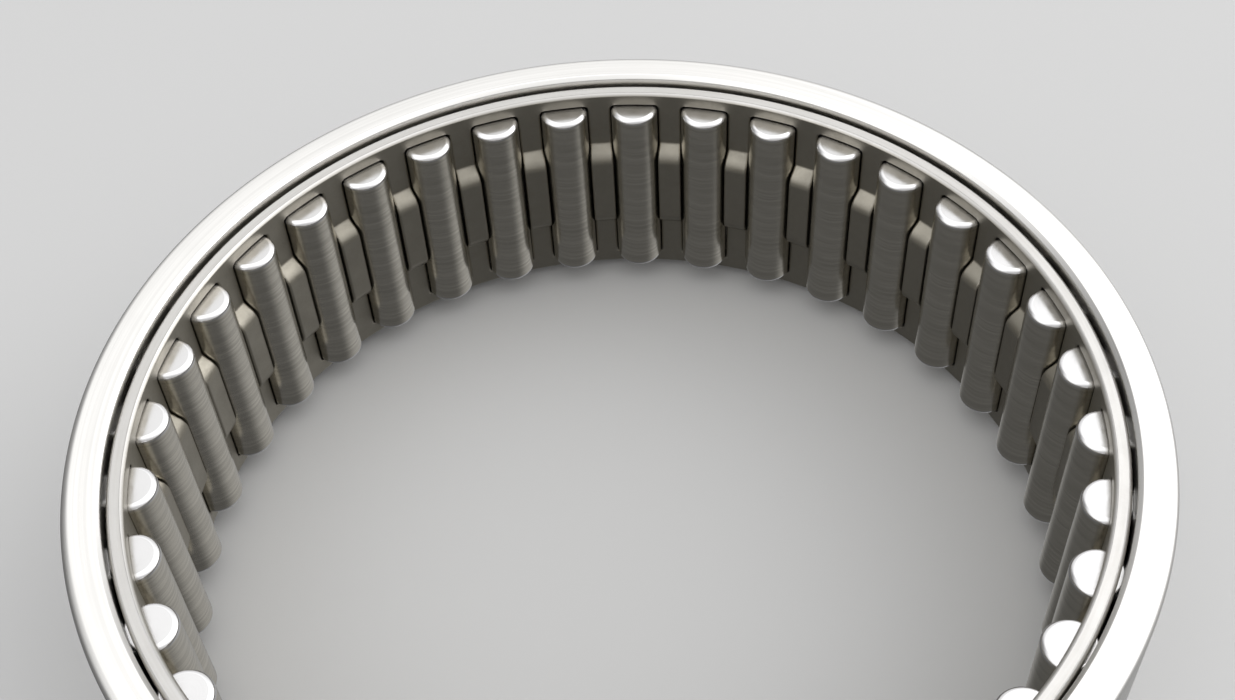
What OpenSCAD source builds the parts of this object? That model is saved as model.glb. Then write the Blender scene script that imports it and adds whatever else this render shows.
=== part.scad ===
// Needle roller bearing with machined outer ring, one-piece window cage and
// 36 needle rollers, for use without an inner ring.
// The origin is the bearing's centre: on its axis, at half its width. +Z runs along the axis.

/* [Bearing] */
// Diameter of the circle that touches all the rollers from inside, which is the shaft's seat
shaft_d = 105; // [103.5:0.5:106.5]
// Outside diameter of the outer ring, which is the housing's seat
ring_d = 125; // [124:0.5:131]
// Width of the outer ring
ring_w = 35; // [35:0.5:46]

/* [Outer ring] */
// Radius of the rounded corners at the ends of the outside diameter
corner_r = 1.1; // [0.6:0.1:1.2]
// Chamfer where each end face meets the bore of its rib
rib_chamfer = 0.5; // [0.2:0.1:0.6]
// Width of the rib at each end of the raceway
rib_w = 3.2; // [2.6:0.1:3.2]
// Diameter of the bore through the ribs
rib_bore_d = 116.2; // [116:0.1:116.4]
// Width of the oil groove round the outside
groove_w = 3.2; // [2:0.2:5]
// Depth of the oil groove
groove_depth = 0.8; // [0.4:0.1:1.0]
// Diameter of each oil hole
oil_hole_d = 2.5; // [1.5:0.1:3]
// Number of oil holes
oil_holes = 2; // [1:1:4]

/* [Rollers] */
// Diameter of a roller
roller_d = 6.4; // [6.35:0.05:6.5]
// Length of a roller
roller_len = 28.3; // [26:0.1:28.3]
// Rounding of a roller's end edges
roller_edge = 0.7; // [0.3:0.1:1]

/* [Cage] */
// How far each end of the cage lies below the ring's end face
cage_recess = 1.2; // [0.8:0.1:1.4]
// Outside diameter of the cage's rims
rim_d = 115.4; // [115:0.1:115.6]
// Inside diameter of the cage's rims
rim_bore_d = 111.5; // [111.2:0.1:111.8]
// Inside diameter of the cage's waist, the middle stretch of its bars
waist_bore_d = 108; // [107.6:0.1:108.4]
// Half the length of the waist, where its bore is straight
waist_half = 5.8; // [5:0.1:6.6]
// Chamfer on the edges of each rim's end face
rim_chamfer = 0.35; // [0.1:0.05:0.5]
// Play between a roller and the round flanks of its pocket
pocket_play = 0.12; // [0.1:0.01:0.15]
// Width of a pocket's straight cut, less than a roller's diameter so that it can't fall out
pocket_w = 6.3; // [6.1:0.05:6.3]

/* [Hidden] */
roller_count = 36;
roller_step = 360 / roller_count;
roller_ids = [for (i = [1:roller_count]) str("needle_", i < 10 ? "0" : "", i)];

$fn = 96;
cut = 0.5;                                       // how far a cutting shape runs past its surface

ring_r = ring_d / 2;
ring_half = ring_w / 2;
rib_bore_r = rib_bore_d / 2;
roller_r = roller_d / 2;
roller_half = roller_len / 2;
roller_clearance = 0.025;                        // radial play between the shaft and the rollers
race_clearance = 0.06;                           // radial play between the rollers and the raceway
pitch_r = shaft_d / 2 + roller_clearance + roller_r;
raceway_r = pitch_r + roller_r + race_clearance;
track_half = ring_half - rib_w;
relief_w = 0.8;                                  // grinding relief in each corner of the raceway
relief_depth = 0.3;

cage_half = ring_half - cage_recess;
rim_r = rim_d / 2;
rim_bore_r = rim_bore_d / 2;
waist_bore_r = waist_bore_d / 2;
waist_wall = 1.9;
waist_outer_r = waist_bore_r + waist_wall;
slope_end = waist_half + 1.8;                    // where the inner slope reaches the rim's bore
shoulder_start = waist_half - 0.4;               // where the outer slope leaves the waist
shoulder_end = slope_end - 0.4;                  // where the outer slope reaches the rim's outside
pocket_half = track_half;
pocket_corner = 0.6;
pocket_r = roller_r + pocket_play;

ground_steel = [0.86, 0.86, 0.85];
roller_steel = [0.62, 0.61, 0.61];
cage_steel = [0.40, 0.40, 0.36];

// Half section of the outer ring in its radius-height plane, before the grooves are cut
module ring_section() {
    difference() {
        union() {
            translate([rib_bore_r, -ring_half]) square([ring_r - corner_r - rib_bore_r, ring_w]);
            translate([rib_bore_r, corner_r - ring_half])
                square([ring_r - rib_bore_r, ring_w - 2 * corner_r]);
            for (side = [-1, 1])
                translate([ring_r - corner_r, side * (ring_half - corner_r)]) circle(corner_r);
        }
        translate([rib_bore_r - cut, -track_half])
            square([raceway_r - rib_bore_r + cut, 2 * track_half]);
        for (side = [-1, 1]) {
            translate([raceway_r - cut, side * (track_half - relief_w / 2) - relief_w / 2])
                square([relief_depth + cut, relief_w]);
            translate([rib_bore_r, side * ring_half]) rotate(45)
                square(rib_chamfer * sqrt(2), center = true);
        }
        translate([ring_r - groove_depth, -groove_w / 2]) square([groove_depth + cut, groove_w]);
    }
}

module outer_ring() {
    color(ground_steel) difference() {
        rotate_extrude($fn = 360) ring_section();
        for (i = [0:oil_holes - 1])
            rotate([0, 90, (i + 0.5) * 360 / oil_holes])
                translate([0, 0, raceway_r - cut])
                    cylinder(h = ring_r - raceway_r + 2 * cut, d = oil_hole_d);
    }
}

// Half section of the cage: rims at the ends, and a waist that dips inwards between them
module cage_section() {
    polygon([
        [rim_bore_r, slope_end], [rim_bore_r, cage_half - rim_chamfer],
        [rim_bore_r + rim_chamfer, cage_half], [rim_r - rim_chamfer, cage_half],
        [rim_r, cage_half - rim_chamfer], [rim_r, shoulder_end],
        [waist_outer_r, shoulder_start], [waist_outer_r, -shoulder_start],
        [rim_r, -shoulder_end], [rim_r, rim_chamfer - cage_half],
        [rim_r - rim_chamfer, -cage_half], [rim_bore_r + rim_chamfer, -cage_half],
        [rim_bore_r, rim_chamfer - cage_half], [rim_bore_r, -slope_end],
        [waist_bore_r, -waist_half], [waist_bore_r, waist_half]
    ]);
}

// One pocket on the +X side: a straight window with round corners, widened round the roller
module pocket() {
    depth = rim_r - waist_bore_r + 2 * cut;
    translate([waist_bore_r - cut, 0, 0]) {
        translate([0, -pocket_w / 2, pocket_corner - pocket_half])
            cube([depth, pocket_w, 2 * (pocket_half - pocket_corner)]);
        translate([0, pocket_corner - pocket_w / 2, -pocket_half])
            cube([depth, pocket_w - 2 * pocket_corner, 2 * pocket_half]);
        for (y = [-1, 1], z = [-1, 1])
            translate([0, y * (pocket_w / 2 - pocket_corner), z * (pocket_half - pocket_corner)])
                rotate([0, 90, 0]) cylinder(h = depth, r = pocket_corner);
    }
    translate([pitch_r, 0, -pocket_half]) cylinder(h = 2 * pocket_half, r = pocket_r);
}

module cage() {
    color(cage_steel) difference() {
        rotate_extrude($fn = 360) cage_section();
        for (i = [0:roller_count - 1]) rotate(i * roller_step) pocket();
    }
}

// Half section of a roller: flat ends and rounded end edges
module roller_section() {
    translate([0, -roller_half]) square([roller_r - roller_edge, roller_len]);
    translate([0, roller_edge - roller_half]) square([roller_r, roller_len - 2 * roller_edge]);
    for (side = [-1, 1])
        translate([roller_r - roller_edge, side * (roller_half - roller_edge)])
            circle(roller_edge);
}

// The roller with the given place in the row, counted from +X towards +Y
module needle(place) {
    color(roller_steel) rotate(place * roller_step) translate([pitch_r, 0, 0])
        rotate_extrude() roller_section();
}

outer_ring();
cage();
for (i = [0:roller_count - 1])
    needle(i);
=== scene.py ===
"""Needle roller bearing: finished pieces built round the fixed CAD frame.

The outer ring, the cage and the rollers are modelled as finished workshop parts, with broken
edges and true rounds, at the sizes of the CAD solids that they stand for. Lengths are in
metres. The origin is the bearing's centre, and +Z runs along its axis.
"""

import logging
import math
from dataclasses import dataclass, field
from enum import Enum

import bmesh
import bpy
from mathutils import Matrix, Vector


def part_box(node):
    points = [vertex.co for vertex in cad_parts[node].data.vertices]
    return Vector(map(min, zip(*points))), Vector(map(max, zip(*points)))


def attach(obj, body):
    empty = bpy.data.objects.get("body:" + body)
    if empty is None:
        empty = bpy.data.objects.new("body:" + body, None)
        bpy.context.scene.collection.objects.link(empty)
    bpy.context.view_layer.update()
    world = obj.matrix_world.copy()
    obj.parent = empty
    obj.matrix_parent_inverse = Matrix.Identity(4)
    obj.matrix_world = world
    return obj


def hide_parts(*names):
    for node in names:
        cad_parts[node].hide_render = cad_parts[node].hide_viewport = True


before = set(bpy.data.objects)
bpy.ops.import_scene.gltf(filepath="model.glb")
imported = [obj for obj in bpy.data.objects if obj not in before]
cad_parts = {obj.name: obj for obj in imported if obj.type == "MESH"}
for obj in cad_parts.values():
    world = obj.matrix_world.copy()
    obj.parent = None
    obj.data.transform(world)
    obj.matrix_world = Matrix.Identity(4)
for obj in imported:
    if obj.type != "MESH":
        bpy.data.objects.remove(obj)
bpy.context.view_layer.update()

MM = 0.001
TURN = 2 * math.pi
UP = Vector((0, 0, 1))
ORIGIN = Vector((0, 0, 0))
TINY = 1e-6
# The floor lies this far below the ring, so that the two don't coincide
FLOOR_GAP = 0.02 * MM
# Points of neighbouring pitches of the cage that are closer than this are merged
WELD = 0.005 * MM
# Two faces that meet at more than these angles make a sharp edge
SHADING_BREAK = math.radians(50)
CORNER = math.radians(50)
POCKET_CORNER = math.radians(35)
RING_CORNER = math.radians(25)
# The cosine past which a face looks along the row of rollers
FLANK_FACING = 0.75
# The flats in a chamfer and in a broken edge
CHAMFER_STEPS = 1
EDGE_STEPS = 2
# Noise values below the first are held at the low end, and above the second at the high end
NOISE_RANGE = (0.35, 0.65)
WEAR = "wear"
ROLLER_AXIS = "on_axis"
# Faces in this layer get painted shade: the cage's pocket flanks are painted near black to stand for the
# shade between the bars and the rollers
POCKET_SHADE = "pocket_shade"
END_FACE = "end_face"

log = logging.getLogger("bearing")


# ---------------------------------------------------------------- shared bench tools


def sharp_edges(bm: bmesh.types.BMesh, angle: float) -> list[bmesh.types.BMEdge]:
    """Finds the edges where two faces meet at more than an angle.

    Args:
        bm: The mesh being modelled.
        angle: The smallest turn between the two faces, in radians.

    Returns:
        The edges, in the mesh's own order.
    """
    return [e for e in bm.edges if e.is_manifold and e.calc_face_angle() > angle]


def round_edges(
    bm: bmesh.types.BMesh,
    edges: list[bmesh.types.BMEdge],
    radius: float,
    segments: int,
    wear_share: float = 1.0,
) -> None:
    """Rounds edges and marks how worn the new faces are.

    Args:
        bm: The mesh being modelled, with a face layer named wear.
        edges: The edges to round.
        radius: How far the round reaches from the edge.
        segments: The number of flats in the round.
        wear_share: How worn the round is, from 0 to 1.
    """
    wear = bm.faces.layers.float[WEAR]
    made = bmesh.ops.bevel(
        bm,
        geom=edges,
        offset=radius,
        offset_type="OFFSET",
        segments=segments,
        profile=0.5,
        affect="EDGES",
        clamp_overlap=False,
        material=-1,
    )
    for face in made["faces"]:
        face[wear] = wear_share


def finished_piece(name: str, bm: bmesh.types.BMesh, body: str) -> bpy.types.Object:
    """Turns a bmesh into a smooth-shaded piece that rides on its body.

    Args:
        name: The piece's name.
        bm: The modelled mesh, in its place. It is freed.
        body: The CAD body that the piece moves with.

    Returns:
        The new object, at the origin, with face-weighted normals in its mesh.
    """
    mesh = bpy.data.meshes.new(name)
    bm.to_mesh(mesh)
    bm.free()
    mesh.shade_smooth()
    mesh.set_sharp_from_angle(angle=SHADING_BREAK)
    piece = bpy.data.objects.new(name, mesh)
    bpy.context.scene.collection.objects.link(piece)
    weighted = piece.modifiers.new("weighted", "WEIGHTED_NORMAL")
    weighted.keep_sharp = True
    apply_modifiers(piece)
    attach(piece, body)
    return piece


def apply_modifiers(piece: bpy.types.Object) -> None:
    """Replaces a piece's mesh by what its modifiers make of it, and removes them."""
    graph = bpy.context.evaluated_depsgraph_get()
    made = bpy.data.meshes.new_from_object(piece.evaluated_get(graph), depsgraph=graph)
    old = piece.data
    piece.modifiers.clear()
    piece.data = made
    made.name = piece.name
    bpy.data.meshes.remove(old)


# ---------------------------------------------------------------- finishes


class MarkAxis(Enum):
    """The axis that a part turned about while it was ground."""

    BEARING = "bearing"
    ROLLER = "roller"


class ShaderSketch:
    """One material's node tree, with short calls for the nodes that finishes share."""

    def __init__(self, name: str) -> None:
        """Starts a material with one Principled shader.

        Args:
            name: The material's name.
        """
        self.material = bpy.data.materials.new(name)
        self.material.use_nodes = True
        self.tree = self.material.node_tree
        self.shader = self.tree.nodes["Principled BSDF"]

    def node(self, kind: str, **settings: object) -> bpy.types.Node:
        """Adds a node and sets its properties.

        Args:
            kind: The node's type name.
            **settings: Properties of the node, by name.

        Returns:
            The new node.
        """
        made = self.tree.nodes.new(kind)
        for key, value in settings.items():
            setattr(made, key, value)
        return made

    def wire(self, source: bpy.types.NodeSocket, target: bpy.types.NodeSocket) -> None:
        """Links an output to an input."""
        self.tree.links.new(source, target)

    def math(
        self, operation: str, first: bpy.types.NodeSocket, second: object = None
    ) -> bpy.types.NodeSocket:
        """Adds a math node.

        Args:
            operation: The operation's name.
            first: The first operand.
            second: The second operand: a socket, a number or nothing.

        Returns:
            The node's output.
        """
        made = self.node("ShaderNodeMath", operation=operation)
        self.wire(first, made.inputs[0])
        if isinstance(second, bpy.types.NodeSocket):
            self.wire(second, made.inputs[1])
        elif second is not None:
            made.inputs[1].default_value = second
        return made.outputs[0]

    def place(self, axis: MarkAxis) -> bpy.types.NodeSocket:
        """Gives the surface point relative to the axis that the part was ground about.

        Args:
            axis: Which axis the grinding marks run round.

        Returns:
            A vector output, in metres.
        """
        if axis is MarkAxis.ROLLER:
            return self.node("ShaderNodeAttribute", attribute_name=ROLLER_AXIS).outputs["Vector"]
        return self.node("ShaderNodeTexCoord").outputs["Object"]

    def marks(self, axis: MarkAxis, spacing: float, length: float, detail: float) -> bpy.types.NodeSocket:
        """Adds fine marks that run round an axis, without a seam.

        Args:
            axis: The axis that the marks run round.
            spacing: The distance between marks.
            length: How many radians a mark runs before it fades.
            detail: The noise's octaves.

        Returns:
            A value from 0 to 1.
        """
        parts = self.node("ShaderNodeSeparateXYZ")
        self.wire(self.place(axis), parts.inputs[0])
        x, y, z = parts.outputs
        squares = self.math("ADD", self.math("MULTIPLY", x, x), self.math("MULTIPLY", y, y))
        radius = self.math("SQRT", squares)
        reach = self.math("MAXIMUM", radius, TINY)
        spread = self.node("ShaderNodeCombineXYZ")
        self.wire(self.math("MULTIPLY", radius, 1 / spacing), spread.inputs[0])
        self.wire(self.math("MULTIPLY", z, 1 / spacing), spread.inputs[1])
        self.wire(self.math("DIVIDE", self.math("MULTIPLY", x, 1 / length), reach), spread.inputs[2])
        noise = self.node("ShaderNodeTexNoise", noise_dimensions="4D")
        noise.inputs["Scale"].default_value = 1.0
        noise.inputs["Detail"].default_value = detail
        self.wire(spread.outputs[0], noise.inputs["Vector"])
        self.wire(self.math("DIVIDE", self.math("MULTIPLY", y, 1 / length), reach), noise.inputs["W"])
        return noise.outputs["Fac"]

    def mottle(self, size: float, detail: float) -> bpy.types.NodeSocket:
        """Adds soft patches of one size all over the part.

        Args:
            size: The patches' width.
            detail: The noise's octaves.

        Returns:
            A value from 0 to 1.
        """
        noise = self.node("ShaderNodeTexNoise")
        noise.inputs["Scale"].default_value = 1 / size
        noise.inputs["Detail"].default_value = detail
        self.wire(self.place(MarkAxis.BEARING), noise.inputs["Vector"])
        return noise.outputs["Fac"]

    def spread(
        self, value: bpy.types.NodeSocket, low: float, high: float, out_low: float, out_high: float
    ) -> bpy.types.NodeSocket:
        """Maps a value from one range to another, held at its ends.

        Args:
            value: The value to map.
            low: The value that gives out_low.
            high: The value that gives out_high.
            out_low: The result at low.
            out_high: The result at high.

        Returns:
            The mapped value.
        """
        made = self.node("ShaderNodeMapRange")
        self.wire(value, made.inputs["Value"])
        limits = {"From Min": low, "From Max": high, "To Min": out_low, "To Max": out_high}
        for key, number in limits.items():
            made.inputs[key].default_value = number
        return made.outputs["Result"]

    def blend(
        self, share: bpy.types.NodeSocket, first: object, second: tuple[float, float, float]
    ) -> bpy.types.NodeSocket:
        """Mixes a colour or a colour output with a second colour.

        Args:
            share: How much of the second colour shows, from 0 to 1.
            first: The first colour, or an output that gives it.
            second: The second colour.

        Returns:
            The mixed colour.
        """
        mix = self.node("ShaderNodeMix", data_type="RGBA")
        self.wire(share, mix.inputs["Factor"])
        if isinstance(first, bpy.types.NodeSocket):
            self.wire(first, mix.inputs["A"])
        else:
            mix.inputs["A"].default_value = (*first, 1)
        mix.inputs["B"].default_value = (*second, 1)
        return mix.outputs["Result"]

    def marked(self, name: str) -> bpy.types.NodeSocket:
        """Gives how far a face is marked with a named layer, from 0 to 1."""
        return self.node("ShaderNodeAttribute", attribute_name=name).outputs["Fac"]

    def brushed(self, axis: MarkAxis, strength: float) -> None:
        """Stretches the gloss across the grinding marks, which run round an axis.

        Args:
            axis: The axis that the marks run round.
            strength: How far the gloss is stretched, from 0 to 1.
        """
        round_axis = self.node("ShaderNodeVectorMath", operation="CROSS_PRODUCT")
        round_axis.inputs[0].default_value = UP
        self.wire(self.place(axis), round_axis.inputs[1])
        turned = self.node(
            "ShaderNodeVectorTransform", vector_type="VECTOR", convert_from="OBJECT", convert_to="WORLD"
        )
        self.wire(round_axis.outputs[0], turned.inputs[0])
        unit = self.node("ShaderNodeVectorMath", operation="NORMALIZE")
        self.wire(turned.outputs[0], unit.inputs[0])
        self.wire(unit.outputs[0], self.shader.inputs["Tangent"])
        self.shader.inputs["Anisotropic"].default_value = strength

    def relief(self, height: bpy.types.NodeSocket, depth: float) -> None:
        """Adds a bump on top of the bumps that the shader already has.

        Args:
            height: The height, from 0 to 1.
            depth: The depth that a height of 1 stands for.
        """
        bump = self.node("ShaderNodeBump")
        bump.inputs["Strength"].default_value = 1.0
        bump.inputs["Distance"].default_value = depth
        self.wire(height, bump.inputs["Height"])
        before = self.shader.inputs["Normal"].links
        if before:
            self.wire(before[0].from_socket, bump.inputs["Normal"])
        self.wire(bump.outputs[0], self.shader.inputs["Normal"])


@dataclass(frozen=True)
class GroundSteel:
    """Bright satin steel with grinding marks round an axis.

    Attributes:
        name: The material's name.
        axis: The axis that the marks run round.
        bright: The colour between marks.
        dull: The colour in marks and stains.
        edge: The colour of worn edges.
        rough_low: The smoothest roughness.
        rough_high: The roughest.
        fine: The spacing of the fine marks.
        coarse: The spacing of the coarse marks.
        mark_length: How many radians a mark runs.
        mark_depth: The fine marks' depth.
        brushing: How far the gloss is stretched across the marks.
        end: The colour of faces marked as end faces.
        stain_size: The width of the soft stains.
        stain_share: How much of the roughness comes from stains, with the rest from marks.
        stain_range: The noise values where a stain starts and where it is full.
        stain_strength: How much of the dull colour a full stain shows.
        coarse_length: How many times a fine mark's length a coarse mark runs.
        coarse_depth: How many times a fine mark's depth a coarse mark has.
    """

    name: str
    axis: MarkAxis
    bright: tuple[float, float, float]
    dull: tuple[float, float, float]
    edge: tuple[float, float, float]
    rough_low: float
    rough_high: float
    fine: float = 0.10 * MM
    coarse: float = 0.45 * MM
    mark_length: float = 0.5
    mark_depth: float = 0.0012 * MM
    brushing: float = 0.4
    end: tuple[float, float, float] = (0.66, 0.655, 0.655)
    stain_size: float = 9 * MM
    stain_share: float = 0.4
    stain_range: tuple[float, float] = (0.5, 0.8)
    stain_strength: float = 0.5
    coarse_length: float = 2.0
    coarse_depth: float = 1.5

    def material(self) -> bpy.types.Material:
        """Builds the finish."""
        sketch = ShaderSketch(self.name)
        shader = sketch.shader
        shader.inputs["Metallic"].default_value = 1.0
        fine = sketch.marks(self.axis, self.fine, self.mark_length, 2.0)
        coarse = sketch.marks(self.axis, self.coarse, self.mark_length * self.coarse_length, 3.0)
        stain = sketch.mottle(self.stain_size, 3.0)
        tone = sketch.blend(sketch.spread(coarse, *NOISE_RANGE, 0.0, 1.0), self.bright, self.dull)
        stained = sketch.spread(stain, *self.stain_range, 0.0, self.stain_strength)
        tone = sketch.blend(stained, tone, self.dull)
        tone = sketch.blend(sketch.marked(WEAR), tone, self.edge)
        tone = sketch.blend(sketch.marked(END_FACE), tone, self.end)
        sketch.wire(tone, shader.inputs["Base Color"])
        from_marks = sketch.math("MULTIPLY", fine, 1 - self.stain_share)
        from_stains = sketch.math("MULTIPLY", stain, self.stain_share)
        haze = sketch.math("ADD", from_marks, from_stains)
        rough = sketch.spread(haze, *NOISE_RANGE, self.rough_low, self.rough_high)
        sketch.wire(rough, shader.inputs["Roughness"])
        sketch.relief(fine, self.mark_depth)
        sketch.relief(coarse, self.mark_depth * self.coarse_depth)
        sketch.brushed(self.axis, self.brushing)
        return sketch.material


@dataclass(frozen=True)
class CageSteel:
    """Dark steel under a film of oil, with a faint grain, burnished edges, bright ground end faces and
    painted shade on the pocket flanks.

    Attributes:
        name: The material's name.
        body: The main colour.
        patch: The colour of the darker patches.
        edge: The colour of burnished edges.
        ground: The colour of the ground end faces.
        flank_shade: The painted shade on the walls inside the pockets: a near-black colour that stands
            for the shade between the bars and the rollers.
        edge_share: How much of the burnished colour shows on an edge.
        patch_size: The width of the patches.
        patch_range: The noise values where a patch starts and where it is full.
        patch_share: How much of the roughness comes from patches, with the rest from grain.
        grain_size: The width of the grain.
        grain_depth: The grain's depth.
        line_spacing: The distance between the fine lines round the cage.
        line_length: How many radians a line runs.
        line_depth: The lines' depth.
        line_range: The noise values at the bottom of a line and between lines.
        line_light: How much ground colour shows at those two.
        ground_from: The height above the middle where the ground metal starts.
        ground_to: The height where it is fully bright.
        rough_low: The smoothest roughness.
        rough_high: The roughest.
    """

    name: str
    body: tuple[float, float, float]
    patch: tuple[float, float, float]
    edge: tuple[float, float, float]
    ground: tuple[float, float, float]
    # Painted shade: a near-black colour on the pocket flanks for the shade between the bars and the
    # rollers
    flank_shade: tuple[float, float, float] = (0.10, 0.097, 0.085)
    edge_share: float = 0.6
    patch_size: float = 4 * MM
    patch_range: tuple[float, float] = (0.35, 0.7)
    patch_share: float = 0.5
    grain_size: float = 0.25 * MM
    grain_depth: float = 0.004 * MM
    line_spacing: float = 0.3 * MM
    line_length: float = 0.15
    line_depth: float = 0.002 * MM
    line_range: tuple[float, float] = (0.3, 0.7)
    line_light: tuple[float, float] = (0.8, 1.0)
    ground_from: float = 15.93 * MM
    ground_to: float = 16.2 * MM
    rough_low: float = 0.34
    rough_high: float = 0.5

    def material(self) -> bpy.types.Material:
        """Builds the finish."""
        sketch = ShaderSketch(self.name)
        shader = sketch.shader
        shader.inputs["Metallic"].default_value = 1.0
        patch = sketch.mottle(self.patch_size, 4.0)
        grain = sketch.mottle(self.grain_size, 2.0)
        rolled = sketch.marks(MarkAxis.BEARING, self.line_spacing, self.line_length, 2.0)
        tone = sketch.blend(sketch.spread(patch, *self.patch_range, 0.0, 1.0), self.body, self.patch)
        burnished = sketch.math("MULTIPLY", sketch.marked(WEAR), self.edge_share)
        tone = sketch.blend(burnished, tone, self.edge)
        parts = sketch.node("ShaderNodeSeparateXYZ")
        sketch.wire(sketch.place(MarkAxis.BEARING), parts.inputs[0])
        up = sketch.math("ABSOLUTE", parts.outputs["Z"])
        ground = sketch.spread(up, self.ground_from, self.ground_to, 0.0, 1.0)
        lines = sketch.spread(rolled, *self.line_range, *self.line_light)
        tone = sketch.blend(sketch.math("MULTIPLY", ground, lines), tone, self.ground)
        # The pocket flanks are painted near black here, as painted shade
        tone = sketch.blend(sketch.marked(POCKET_SHADE), tone, self.flank_shade)
        sketch.wire(tone, shader.inputs["Base Color"])
        from_grain = sketch.math("MULTIPLY", grain, 1 - self.patch_share)
        from_patches = sketch.math("MULTIPLY", patch, self.patch_share)
        haze = sketch.math("ADD", from_grain, from_patches)
        rough = sketch.spread(haze, *NOISE_RANGE, self.rough_low, self.rough_high)
        sketch.wire(rough, shader.inputs["Roughness"])
        sketch.relief(grain, self.grain_depth)
        sketch.relief(rolled, self.line_depth)
        return sketch.material


# ---------------------------------------------------------------- sub-assemblies


@dataclass
class OuterRing:
    """The machined outer ring: ground faces, two ribs, a raceway and an oil groove.

    Attributes:
        radius: The outside radius.
        half_width: Half the width.
        rib_bore: The radius of the bore through the ribs.
        raceway: The radius of the raceway.
        track_half: Half the raceway's length.
        relief_width: The width of the grinding relief in each corner of the raceway.
        relief_depth: The relief's depth.
        corner: The radius of the rounded outside corners.
        rib_chamfer: The chamfer between an end face and the rib's bore.
        groove_half: Half the oil groove's width.
        groove_depth: The oil groove's depth.
        oil_hole: The radius of an oil hole.
        hole_turns: The directions of the oil holes, as shares of a turn.
        broken_edge: The round on every other edge.
        steps: The number of flats round the ring.
        corner_steps: The number of flats in a rounded outside corner.
        hole_segments: The number of flats round an oil hole.
        finish: The ring's finish.
    """

    radius: float
    half_width: float
    rib_bore: float = 58.1 * MM
    raceway: float = 58.985 * MM
    track_half: float = 14.3 * MM
    relief_width: float = 0.8 * MM
    relief_depth: float = 0.3 * MM
    corner: float = 1.1 * MM
    rib_chamfer: float = 0.5 * MM
    groove_half: float = 1.6 * MM
    groove_depth: float = 0.8 * MM
    oil_hole: float = 1.25 * MM
    hole_turns: tuple[float, ...] = (0.25, 0.75)
    broken_edge: float = 0.08 * MM
    steps: int = 360
    corner_steps: int = 6
    hole_segments: int = 64
    finish: GroundSteel = GroundSteel(
        name="ring_steel",
        axis=MarkAxis.BEARING,
        bright=(0.85, 0.84, 0.82),
        dull=(0.74, 0.73, 0.71),
        edge=(0.80, 0.79, 0.77),
        rough_low=0.26,
        rough_high=0.36,
    )

    def outline(self) -> list[tuple[float, float]]:
        """Gives the section's corners as radius and height, round the whole section."""
        groove_floor = self.radius - self.groove_depth
        relief_wall = self.raceway + self.relief_depth
        relief_end = self.track_half - self.relief_width
        upper = [
            (self.raceway, relief_end),
            (relief_wall, relief_end),
            (relief_wall, self.track_half),
            (self.rib_bore, self.track_half),
            (self.rib_bore, self.half_width),
            (self.radius, self.half_width),
            (self.radius, self.groove_half),
            (groove_floor, self.groove_half),
        ]
        return upper + [(r, -z) for r, z in reversed(upper)]

    def rings_at(self, bm: bmesh.types.BMesh, radius: float) -> list[bmesh.types.BMEdge]:
        """Finds the circular edges at the end faces with a given radius."""
        return [
            e
            for e in bm.edges
            if all(
                abs(v.co.xy.length - radius) < TINY and abs(abs(v.co.z) - self.half_width) < TINY
                for v in e.verts
            )
        ]

    def turned(self) -> bmesh.types.BMesh:
        """Spins the section into the ring and rounds its edges."""
        bm = bmesh.new()
        bm.faces.layers.float.new(WEAR)
        corners = [bm.verts.new((r, 0, z)) for r, z in self.outline()]
        edges = [bm.edges.new((a, b)) for a, b in zip(corners, corners[1:] + corners[:1])]
        bmesh.ops.spin(
            bm,
            geom=corners + edges,
            cent=ORIGIN,
            axis=UP,
            angle=TURN,
            steps=self.steps,
            use_merge=True,
        )
        bmesh.ops.remove_doubles(bm, verts=bm.verts, dist=TINY)
        bmesh.ops.recalc_face_normals(bm, faces=bm.faces)
        round_edges(bm, self.rings_at(bm, self.radius), self.corner, self.corner_steps)
        round_edges(bm, self.rings_at(bm, self.rib_bore), self.rib_chamfer, CHAMFER_STEPS)
        round_edges(bm, sharp_edges(bm, RING_CORNER), self.broken_edge, EDGE_STEPS)
        return bm

    def drill(self, piece: bpy.types.Object) -> None:
        """Drills the oil holes from the groove to the raceway."""
        depth = self.radius - self.raceway
        cutters = bmesh.new()
        for turn in self.hole_turns:
            middle = Matrix.Translation((self.raceway + depth / 2, 0, 0))
            lie = Matrix.Rotation(turn * TURN, 4, "Z") @ middle
            bmesh.ops.create_cone(
                cutters,
                cap_ends=True,
                segments=self.hole_segments,
                radius1=self.oil_hole,
                radius2=self.oil_hole,
                depth=3 * depth,
                matrix=lie @ Matrix.Rotation(TURN / 4, 4, "Y"),
            )
        mesh = bpy.data.meshes.new("oil_hole_cutters")
        cutters.to_mesh(mesh)
        cutters.free()
        cutter = bpy.data.objects.new("oil_hole_cutters", mesh)
        bpy.context.scene.collection.objects.link(cutter)
        holes = piece.modifiers.new("oil_holes", "BOOLEAN")
        holes.operation = "DIFFERENCE"
        holes.solver = "EXACT"
        holes.object = cutter
        apply_modifiers(piece)
        bpy.data.objects.remove(cutter)
        bpy.data.meshes.remove(mesh)

    def build(self) -> bpy.types.Object:
        """Makes the ring in its place."""
        piece = finished_piece("ring", self.turned(), "outer_ring")
        self.drill(piece)
        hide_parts("outer_ring")
        return piece

    def dress(self, piece: bpy.types.Object) -> None:
        """Gives the ring its ground finish."""
        piece.data.materials.clear()
        piece.data.materials.append(self.finish.material())


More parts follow.
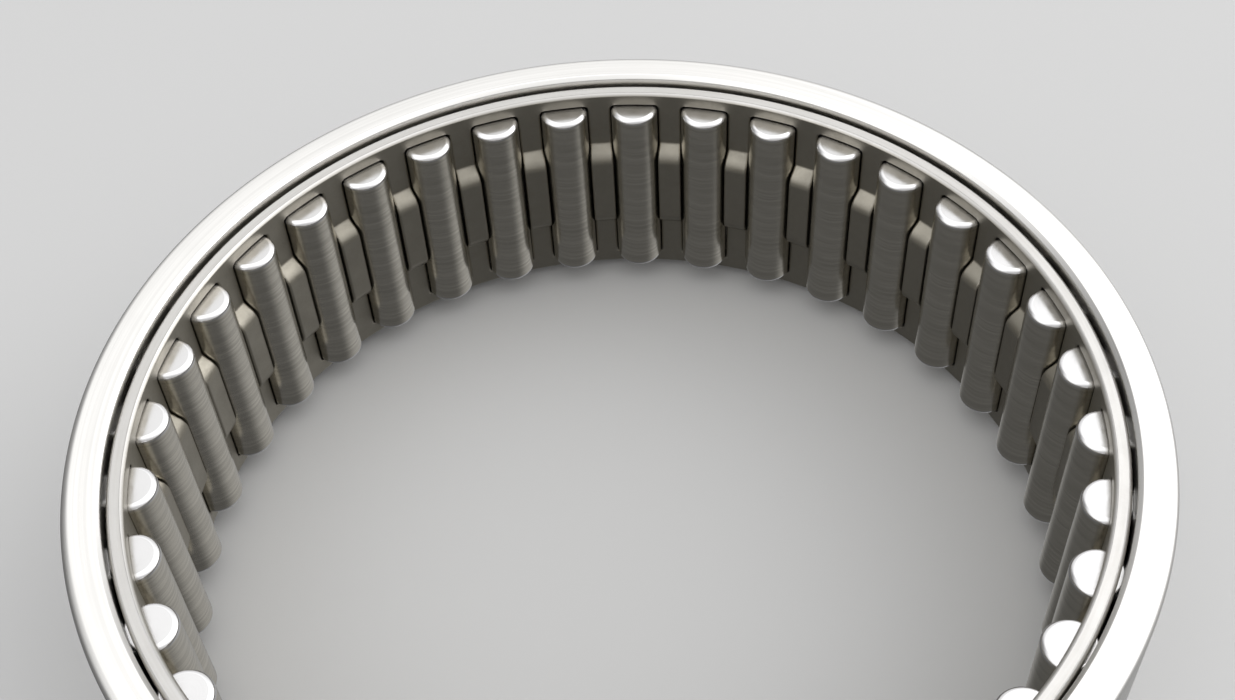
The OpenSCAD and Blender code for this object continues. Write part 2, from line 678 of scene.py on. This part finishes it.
@dataclass
class Cage:
    """The one-piece window cage, whose bars dip inwards at their waist.

    It starts as a flat strip one pitch wide, with its pocket left out, which is given its
    thickness, rolled to its true section and repeated round the axis.

    Attributes:
        half_height: Half the cage's height.
        pitch_radius: The radius of the circle through the rollers' axes.
        rim_radius: The rims' outside radius.
        rim_bore: The rims' inside radius.
        waist_bore: The waist's inside radius.
        waist_radius: The waist's outside radius.
        waist_half: Half the length of the waist inside.
        slope_end: The height where the inner slope reaches the rims' bore.
        shoulder_start: The height where the outer slope leaves the waist.
        shoulder_end: The height where the outer slope reaches the rims' outside.
        waist_bend: Half the height over which a slope bends into the waist.
        rim_bend: Half the height over which a slope bends into a rim.
        pocket_half: Half a pocket's height.
        pocket_side: Half the width of a pocket's straight cut.
        flank_radius: The radius of a pocket's hollow flanks, about its roller's axis.
        pocket_corner: The radius of a pocket's corners.
        rim_chamfer: The chamfer on the edges of the rims' end faces.
        broken_edge: The round on the chamfers' own edges.
        pocket_round: The round on the pockets' edges.
        pocket_wear: How worn that round is, from 0 to 1.
        count: The number of pockets.
        finish: The cage's finish.
        bar_columns: The extra columns of edges in half a bar, as shares of its width.
        gap_columns: Those in half a gap between bars.
        layers: The extra layers through the wall, as shares of its thickness.
        bend_steps: The rows of edges across a waist's bend and across a rim's bend.
        corner_steps: The rows of edges in a pocket's corner.
        pocket_steps: The number of flats in the round on the pockets' edges.
    """

    half_height: float
    pitch_radius: float
    rim_radius: float = 57.7 * MM
    rim_bore: float = 55.75 * MM
    waist_bore: float = 54.0 * MM
    waist_radius: float = 55.9 * MM
    waist_half: float = 5.8 * MM
    slope_end: float = 7.6 * MM
    shoulder_start: float = 5.4 * MM
    shoulder_end: float = 7.2 * MM
    waist_bend: float = 0.9 * MM
    rim_bend: float = 0.2 * MM
    pocket_half: float = 14.3 * MM
    pocket_side: float = 3.15 * MM
    flank_radius: float = 3.32 * MM
    pocket_corner: float = 0.6 * MM
    rim_chamfer: float = 0.35 * MM
    broken_edge: float = 0.07 * MM
    pocket_round: float = 0.3 * MM
    pocket_wear: float = 0.0
    count: int = 36
    finish: CageSteel = CageSteel(
        name="cage_steel",
        body=(0.355, 0.332, 0.282),
        patch=(0.30, 0.281, 0.24),
        edge=(0.47, 0.448, 0.40),
        ground=(0.60, 0.59, 0.575),
    )
    bar_columns: tuple[float, ...] = (0.4, 0.8)
    gap_columns: tuple[float, ...] = (0.25, 0.5, 0.75)
    layers: tuple[float, ...] = (0.2, 0.4, 0.6, 0.8)
    bend_steps: tuple[int, int] = (8, 3)
    corner_steps: int = 5
    pocket_steps: int = 3

    def heights(self) -> list[float]:
        """Gives the heights above the middle where the strip needs a row of edges."""
        rows = [self.waist_half / 2, self.pocket_half, (self.pocket_half + self.half_height) / 2]
        rows.append((self.slope_end + self.pocket_half) / 2)
        bends = ((self.waist_half, self.waist_bend), (self.slope_end, self.rim_bend))
        for (middle, bend), steps in zip(bends, self.bend_steps):
            for step in range(steps + 1):
                rows.append(middle + bend * (2 * step / steps - 1))
        for step in range(self.corner_steps):
            lift = math.sin(TURN / 4 * step / self.corner_steps)
            rows.append(self.pocket_half - self.pocket_corner * (1 - lift))
        return sorted(rows)

    def ramp(self, height: float, start: float, end: float) -> float:
        """Gives how far a slope has risen at a height, with rounded bends.

        Args:
            height: The height above the middle.
            start: Where the slope starts.
            end: Where it ends.

        Returns:
            0 before the slope, 1 after it, and a straight rise between two rounded bends.
        """

        def softened(over: float, bend: float) -> float:
            """Gives max(over, 0) with its corner rounded over the bend."""
            if abs(over) >= bend:
                return max(over, 0.0)
            return (over + bend) ** 2 / (4 * bend)

        rise = softened(height - start, self.waist_bend) - softened(height - end, self.rim_bend)
        return rise / (end - start)

    def wall(self, height: float) -> tuple[float, float]:
        """Gives the cage's inside and outside radius at a height."""
        up = abs(height)
        inner = self.ramp(up, self.waist_half, self.slope_end)
        outer = self.ramp(up, self.shoulder_start, self.shoulder_end)
        return (
            self.waist_bore + inner * (self.rim_bore - self.waist_bore),
            self.waist_radius + outer * (self.rim_radius - self.waist_radius),
        )

    def gap_half(self, radius: float, height: float) -> float:
        """Gives half a pocket's width at a radius and a height, round corners included."""
        off_axis = abs(radius - self.pitch_radius)
        hollow = math.sqrt(max(self.flank_radius**2 - off_axis**2, 0.0))
        half = max(self.pocket_side, hollow)
        into_corner = abs(height) - (self.pocket_half - self.pocket_corner)
        if into_corner <= 0:
            return half
        into_corner = min(into_corner, self.pocket_corner)
        return half - (self.pocket_corner - math.sqrt(self.pocket_corner**2 - into_corner**2))

    def strip(self) -> bmesh.types.BMesh:
        """Makes the flat strip: x from -2 to 2 with the bar within 1, y through, z up."""
        bm = bmesh.new()
        bm.faces.layers.float.new(WEAR)
        bmesh.ops.create_grid(
            bm,
            x_segments=1,
            y_segments=1,
            size=1.0,
            matrix=Matrix.Diagonal((2.0, 1.0, self.half_height, 1)) @ Matrix.Rotation(TURN / 4, 4, "X"),
        )
        columns = [0.0, 1.0, *self.bar_columns, *(1 + share for share in self.gap_columns)]
        for column in sorted({side * c for c in columns for side in (-1, 1)}):
            self.cut_at(bm, Vector((column, 0, 0)), Vector((1, 0, 0)))
        for row in sorted({side * h for h in self.heights() for side in (-1, 1)}):
            self.cut_at(bm, Vector((0, 0, row)), UP)
        window = []
        for face in bm.faces:
            middle = face.calc_center_median()
            if abs(middle.x) > 1 and abs(middle.z) < self.pocket_half:
                window.append(face)
        bmesh.ops.delete(bm, geom=window, context="FACES")
        grown = bmesh.ops.extrude_face_region(bm, geom=bm.faces[:], use_keep_orig=True)
        moved = [v for v in grown["geom"] if isinstance(v, bmesh.types.BMVert)]
        bmesh.ops.translate(bm, verts=moved, vec=(0, 1, 0))
        for layer in self.layers:
            self.cut_at(bm, Vector((0, layer, 0)), Vector((0, 1, 0)))
        ends = [f for f in bm.faces if all(abs(abs(v.co.x) - 2) < TINY for v in f.verts)]
        bmesh.ops.delete(bm, geom=ends, context="FACES")
        return bm

    @staticmethod
    def cut_at(bm: bmesh.types.BMesh, point: Vector, normal: Vector) -> None:
        """Cuts a row of edges right across the mesh, and removes nothing."""
        bmesh.ops.bisect_plane(
            bm, geom=bm.verts[:] + bm.edges[:] + bm.faces[:], dist=TINY, plane_co=point, plane_no=normal
        )

    @staticmethod
    def edges_between(bm: bmesh.types.BMesh, low: float, high: float) -> list[bmesh.types.BMEdge]:
        """Finds the sharp edges that lie above one height and up to another, at either end."""
        found = []
        for edge in sharp_edges(bm, POCKET_CORNER):
            heights = [abs(v.co.z) for v in edge.verts]
            if min(heights) > low + TINY and max(heights) < high + TINY:
                found.append(edge)
        return found

    def roll_up(self, bm: bmesh.types.BMesh) -> None:
        """Bends the flat strip to the cage's true section about the axis."""
        pitch_half = math.pi / self.count
        for vert in bm.verts:
            inner, outer = self.wall(vert.co.z)
            radius = inner + vert.co.y * (outer - inner)
            bar_edge = pitch_half - math.asin(self.gap_half(radius, vert.co.z) / radius)
            across = abs(vert.co.x)
            if across <= 1:
                turn = across * bar_edge
            else:
                turn = bar_edge + (across - 1) * (pitch_half - bar_edge)
            turn = math.copysign(turn, vert.co.x) + pitch_half
            vert.co = (radius * math.cos(turn), radius * math.sin(turn), vert.co.z)

    def shade_pocket_flanks(self, bm: bmesh.types.BMesh) -> None:
        """Marks the walls inside the pockets, which are painted near black as shade between the bars and
        the rollers.
        """
        pocket_shade = bm.faces.layers.float.new(POCKET_SHADE)
        for face in bm.faces:
            middle = face.calc_center_median()
            around = UP.cross(middle).normalized()
            level = abs(middle.z) < self.pocket_half + self.pocket_round
            face[pocket_shade] = 1.0 if level and abs(face.normal.dot(around)) > FLANK_FACING else 0.0

    def build(self) -> bpy.types.Object:
        """Makes the cage in its place."""
        bm = self.strip()
        self.roll_up(bm)
        bmesh.ops.spin(
            bm,
            geom=bm.verts[:] + bm.edges[:] + bm.faces[:],
            cent=ORIGIN,
            axis=UP,
            angle=TURN * (self.count - 1) / self.count,
            steps=self.count - 1,
            use_duplicate=True,
        )
        bmesh.ops.remove_doubles(bm, verts=bm.verts, dist=WELD)
        bmesh.ops.recalc_face_normals(bm, faces=bm.faces)
        corners = sharp_edges(bm, CORNER)
        rims = [e for e in corners if all(abs(abs(v.co.z) - self.half_height) < TINY for v in e.verts)]
        round_edges(bm, rims, self.rim_chamfer, CHAMFER_STEPS)
        rims = self.edges_between(bm, self.pocket_half, self.half_height)
        round_edges(bm, rims, self.broken_edge, EDGE_STEPS)
        pockets = self.edges_between(bm, -TINY, self.pocket_half)
        round_edges(bm, pockets, self.pocket_round, self.pocket_steps, self.pocket_wear)
        # The pocket flanks are marked for painted shade
        self.shade_pocket_flanks(bm)
        piece = finished_piece("window_cage", bm, "cage")
        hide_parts("cage")
        return piece

    def dress(self, piece: bpy.types.Object) -> None:
        """Gives the cage its dark finish under a film of oil, with painted shade on the pocket flanks."""
        piece.data.materials.append(self.finish.material())


@dataclass
class RollerSet:
    """The row of ground rollers, each on its own body.

    Attributes:
        nodes: The CAD nodes that the rollers stand for.
        radius: A roller's radius.
        half_length: Half a roller's length.
        end_round: The round on a roller's end edges.
        segments: The number of flats round a roller.
        end_steps: The number of flats in the round on its end edges.
        finish: The rollers' finish.
    """

    nodes: list[str]
    radius: float
    half_length: float
    end_round: float = 0.7 * MM
    segments: int = 96
    end_steps: int = 7
    finish: GroundSteel = GroundSteel(
        name="roller_steel",
        axis=MarkAxis.ROLLER,
        bright=(0.76, 0.725, 0.645),
        dull=(0.60, 0.572, 0.505),
        edge=(0.76, 0.755, 0.76),
        rough_low=0.17,
        rough_high=0.27,
        fine=0.08 * MM,
        coarse=0.3 * MM,
        mark_length=1.4,
        mark_depth=0.0006 * MM,
        brushing=0.55,
    )

    def blank(self) -> bmesh.types.BMesh:
        """Makes one roller about the origin."""
        bm = bmesh.new()
        bm.faces.layers.float.new(WEAR)
        bmesh.ops.create_cone(
            bm,
            cap_ends=True,
            segments=self.segments,
            radius1=self.radius,
            radius2=self.radius,
            depth=2 * self.half_length,
        )
        round_edges(bm, sharp_edges(bm, CORNER), self.end_round, self.end_steps)
        end_face = bm.faces.layers.float.new(END_FACE)
        for face in bm.faces:
            face[end_face] = 1.0 if len(face.verts) == self.segments else 0.0
        return bm

    def build_one(self, node: str) -> bpy.types.Object:
        """Makes the roller that stands for a node, in its place."""
        low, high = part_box(node)
        bm = self.blank()
        on_axis = bm.verts.layers.float_vector.new(ROLLER_AXIS)
        for vert in bm.verts:
            vert[on_axis] = vert.co
        bmesh.ops.translate(bm, verts=bm.verts, vec=(low + high) / 2)
        piece = finished_piece(node.replace("needle", "roller"), bm, node)
        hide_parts(node)
        return piece

    def build(self) -> list[bpy.types.Object]:
        """Makes every roller."""
        return [self.build_one(node) for node in self.nodes]

    def dress(self, pieces: list[bpy.types.Object]) -> None:
        """Gives the rollers their ground finish."""
        finish = self.finish.material()
        for piece in pieces:
            piece.data.materials.append(finish)


# ---------------------------------------------------------------- studio


@dataclass(frozen=True)
class SkyPatch:
    """A soft bright or dark stretch of the room's light.

    Attributes:
        toward: The direction of its middle.
        spread: The cosines of the angles where it starts and where it is full.
        light: The brightness that it adds, which is negative for a dark flag.
    """

    toward: tuple[float, float, float]
    spread: tuple[float, float]
    light: float


@dataclass
class Studio:
    """The floor, the camera, the room's light and one soft lamp.

    Attributes:
        floor_height: The height that the bearing rests on.
        face_height: The height of the ring's upper face, which the camera was placed from.
        eye: The camera's place from the middle of the upper face.
        dip: How far the camera looks down, in degrees.
        roll: How far it leans, in degrees.
        turn: How far it stands round from looking along +Y, in degrees.
        lens: The focal length in millimetres.
        sensor: The width of the sensor in millimetres.
        dome: The room's light: how far up from the bottom, from 0 to 1, and how bright.
        patches: The stretches of that light that are brighter or darker.
        key_place: Where the soft lamp stands.
        key_size: The length of its side.
        key_power: Its power in watts.
        floor_tone: The floor's grey.
        floor_reach: How far the floor runs from its middle.
        floor_roughness: The floor's roughness.
        floor_gloss: The strength of the floor's gloss.
    """

    floor_height: float
    face_height: float
    eye: Vector = field(default_factory=lambda: Vector((0.82, -116.88, 144.55)) * MM)
    dip: float = 49.07
    roll: float = -3.56
    turn: float = -4.68
    lens: float = 47.55
    sensor: float = 36.0
    dome: tuple[tuple[float, float], ...] = (
        (0.0, 0.10),
        (0.22, 0.125),
        (0.4, 0.3),
        (0.5, 0.55),
        (0.75, 0.66),
        (0.88, 1.0),
        (1.0, 1.5),
    )
    patches: tuple[SkyPatch, ...] = (
        SkyPatch(toward=(0.0, 0.8, 0.6), spread=(0.72, 0.93), light=0.32),
        SkyPatch(toward=(0.82, 0.26, 0.51), spread=(0.66, 0.92), light=0.6),
        SkyPatch(toward=(0.75, -0.21, 0.63), spread=(0.7, 0.95), light=0.55),
        SkyPatch(toward=(-0.75, -0.25, 0.61), spread=(0.75, 0.97), light=0.85),
        SkyPatch(toward=(0.597, 0.398, -0.697), spread=(0.45, 1.0), light=0.30),
        SkyPatch(toward=(-0.88, 0.33, 0.33), spread=(0.7, 0.95), light=-0.32),
    )
    key_place: Vector = field(default_factory=lambda: Vector((0.70, 0.25, 0.45)))
    key_size: float = 0.7
    key_power: float = 1.6
    floor_tone: float = 0.47
    floor_reach: float = 3.0
    floor_roughness: float = 0.9
    floor_gloss: float = 0.2

    def camera(self) -> None:
        """Makes the camera and sets it as the scene's own."""
        data = bpy.data.cameras.new("camera")
        data.sensor_width = self.sensor
        data.lens = self.lens
        data.clip_start = 1 * MM
        camera = bpy.data.objects.new("camera", data)
        bpy.context.scene.collection.objects.link(camera)
        stand = Matrix.Rotation(math.radians(self.turn), 4, "Z")
        tilt = Matrix.Rotation(TURN / 4 - math.radians(self.dip), 4, "X")
        lean = Matrix.Rotation(math.radians(self.roll), 4, "Z")
        place = Matrix.Translation(self.eye + UP * self.face_height)
        camera.matrix_world = stand @ place @ tilt @ lean
        bpy.context.scene.camera = camera

    def floor(self) -> None:
        """Makes the plain pale floor."""
        bm = bmesh.new()
        bmesh.ops.create_grid(
            bm,
            x_segments=1,
            y_segments=1,
            size=self.floor_reach,
            matrix=Matrix.Translation((0, 0, self.floor_height)),
        )
        mesh = bpy.data.meshes.new("floor")
        bm.to_mesh(mesh)
        bm.free()
        floor = bpy.data.objects.new("floor", mesh)
        bpy.context.scene.collection.objects.link(floor)
        paint = ShaderSketch("floor_paint")
        paint.shader.inputs["Base Color"].default_value = (*(self.floor_tone,) * 3, 1)
        paint.shader.inputs["Roughness"].default_value = self.floor_roughness
        paint.shader.inputs["Specular IOR Level"].default_value = self.floor_gloss
        mesh.materials.append(paint.material)
        floor.visible_glossy = False

    def key_light(self) -> None:
        """Makes the square soft lamp, which faces the bearing."""
        data = bpy.data.lights.new("key_light", "AREA")
        data.shape = "SQUARE"
        data.size = self.key_size
        data.energy = self.key_power
        light = bpy.data.objects.new("key_light", data)
        light.location = self.key_place
        light.rotation_euler = (ORIGIN - self.key_place).to_track_quat("-Z", "Y").to_euler()
        bpy.context.scene.collection.objects.link(light)

    @staticmethod
    def add_patch(
        tree: bpy.types.NodeTree,
        direction: bpy.types.NodeSocket,
        light: bpy.types.NodeSocket,
        patch: SkyPatch,
    ) -> bpy.types.NodeSocket:
        """Adds a patch to the room's light.

        Args:
            tree: The world's node tree.
            direction: The direction that is looked along.
            light: The light so far.
            patch: The patch to add.

        Returns:
            The light with the patch.
        """
        near = tree.nodes.new("ShaderNodeVectorMath")
        near.operation = "DOT_PRODUCT"
        near.inputs[1].default_value = patch.toward
        tree.links.new(direction, near.inputs[0])
        share = tree.nodes.new("ShaderNodeMapRange")
        share.interpolation_type = "SMOOTHSTEP"
        start, full = patch.spread
        for key, number in (("From Min", start), ("From Max", full), ("To Max", patch.light)):
            share.inputs[key].default_value = number
        tree.links.new(near.outputs["Value"], share.inputs["Value"])
        add = tree.nodes.new("ShaderNodeMath")
        add.operation = "ADD"
        tree.links.new(light, add.inputs[0])
        tree.links.new(share.outputs["Result"], add.inputs[1])
        return add.outputs[0]

    def sky(self) -> None:
        """Fills the room with soft light that grows upwards, and adds the patches to it."""
        world = bpy.data.worlds.new("room")
        bpy.context.scene.world = world
        world.use_nodes = True
        nodes, links = world.node_tree.nodes, world.node_tree.links
        place = nodes.new("ShaderNodeTexCoord")
        parts = nodes.new("ShaderNodeSeparateXYZ")
        ramp = nodes.new("ShaderNodeValToRGB")
        stops = ramp.color_ramp.elements
        for stop in list(stops)[1:]:
            stops.remove(stop)
        stops[0].position, stops[0].color = self.dome[0][0], (self.dome[0][1],) * 3 + (1,)
        for height, light in self.dome[1:]:
            stops.new(height).color = (light, light, light, 1)
        shift = nodes.new("ShaderNodeMapRange")
        shift.inputs["From Min"].default_value = -1.0
        links.new(parts.outputs["Z"], shift.inputs["Value"])
        links.new(place.outputs["Generated"], parts.inputs[0])
        links.new(shift.outputs["Result"], ramp.inputs[0])
        total = ramp.outputs[0]
        for patch in self.patches:
            total = self.add_patch(world.node_tree, place.outputs["Generated"], total, patch)
        links.new(total, nodes["Background"].inputs["Color"])
        nodes["Background"].inputs["Strength"].default_value = 1.0

    def build(self) -> None:
        """Makes the camera, the floor and the lights."""
        bpy.context.scene.view_settings.view_transform = "Standard"
        self.camera()
        self.floor()
        self.sky()
        self.key_light()


def main() -> None:
    """Builds the studio and each sub-assembly, and reports every piece."""
    logging.basicConfig(level=logging.INFO, format="%(name)s: %(message)s")
    ring_low, ring_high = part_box("outer_ring")
    cage_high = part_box("cage")[1]
    rollers = sorted(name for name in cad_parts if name.startswith("needle_"))
    first_low, first_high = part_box(rollers[0])
    studio = Studio(floor_height=ring_low.z - FLOOR_GAP, face_height=ring_high.z)
    studio.build()
    # The ring stays inside the CAD ring's box, whose sides differ by about 0.01 mm
    ring_radius = min(-ring_low.x, -ring_low.y, ring_high.x, ring_high.y) - TINY
    ring = OuterRing(radius=ring_radius, half_width=ring_high.z)
    cage = Cage(half_height=cage_high.z, pitch_radius=(first_low.x + first_high.x) / 2)
    roller_set = RollerSet(
        nodes=rollers, radius=(first_high.x - first_low.x) / 2, half_length=first_high.z
    )
    for part in (ring, cage, roller_set):
        pieces = part.build()
        part.dress(pieces)
        for piece in pieces if isinstance(pieces, list) else [pieces]:
            log.info("%s: %d faces", piece.name, len(piece.data.polygons))


if __name__ == "__main__":
    main()
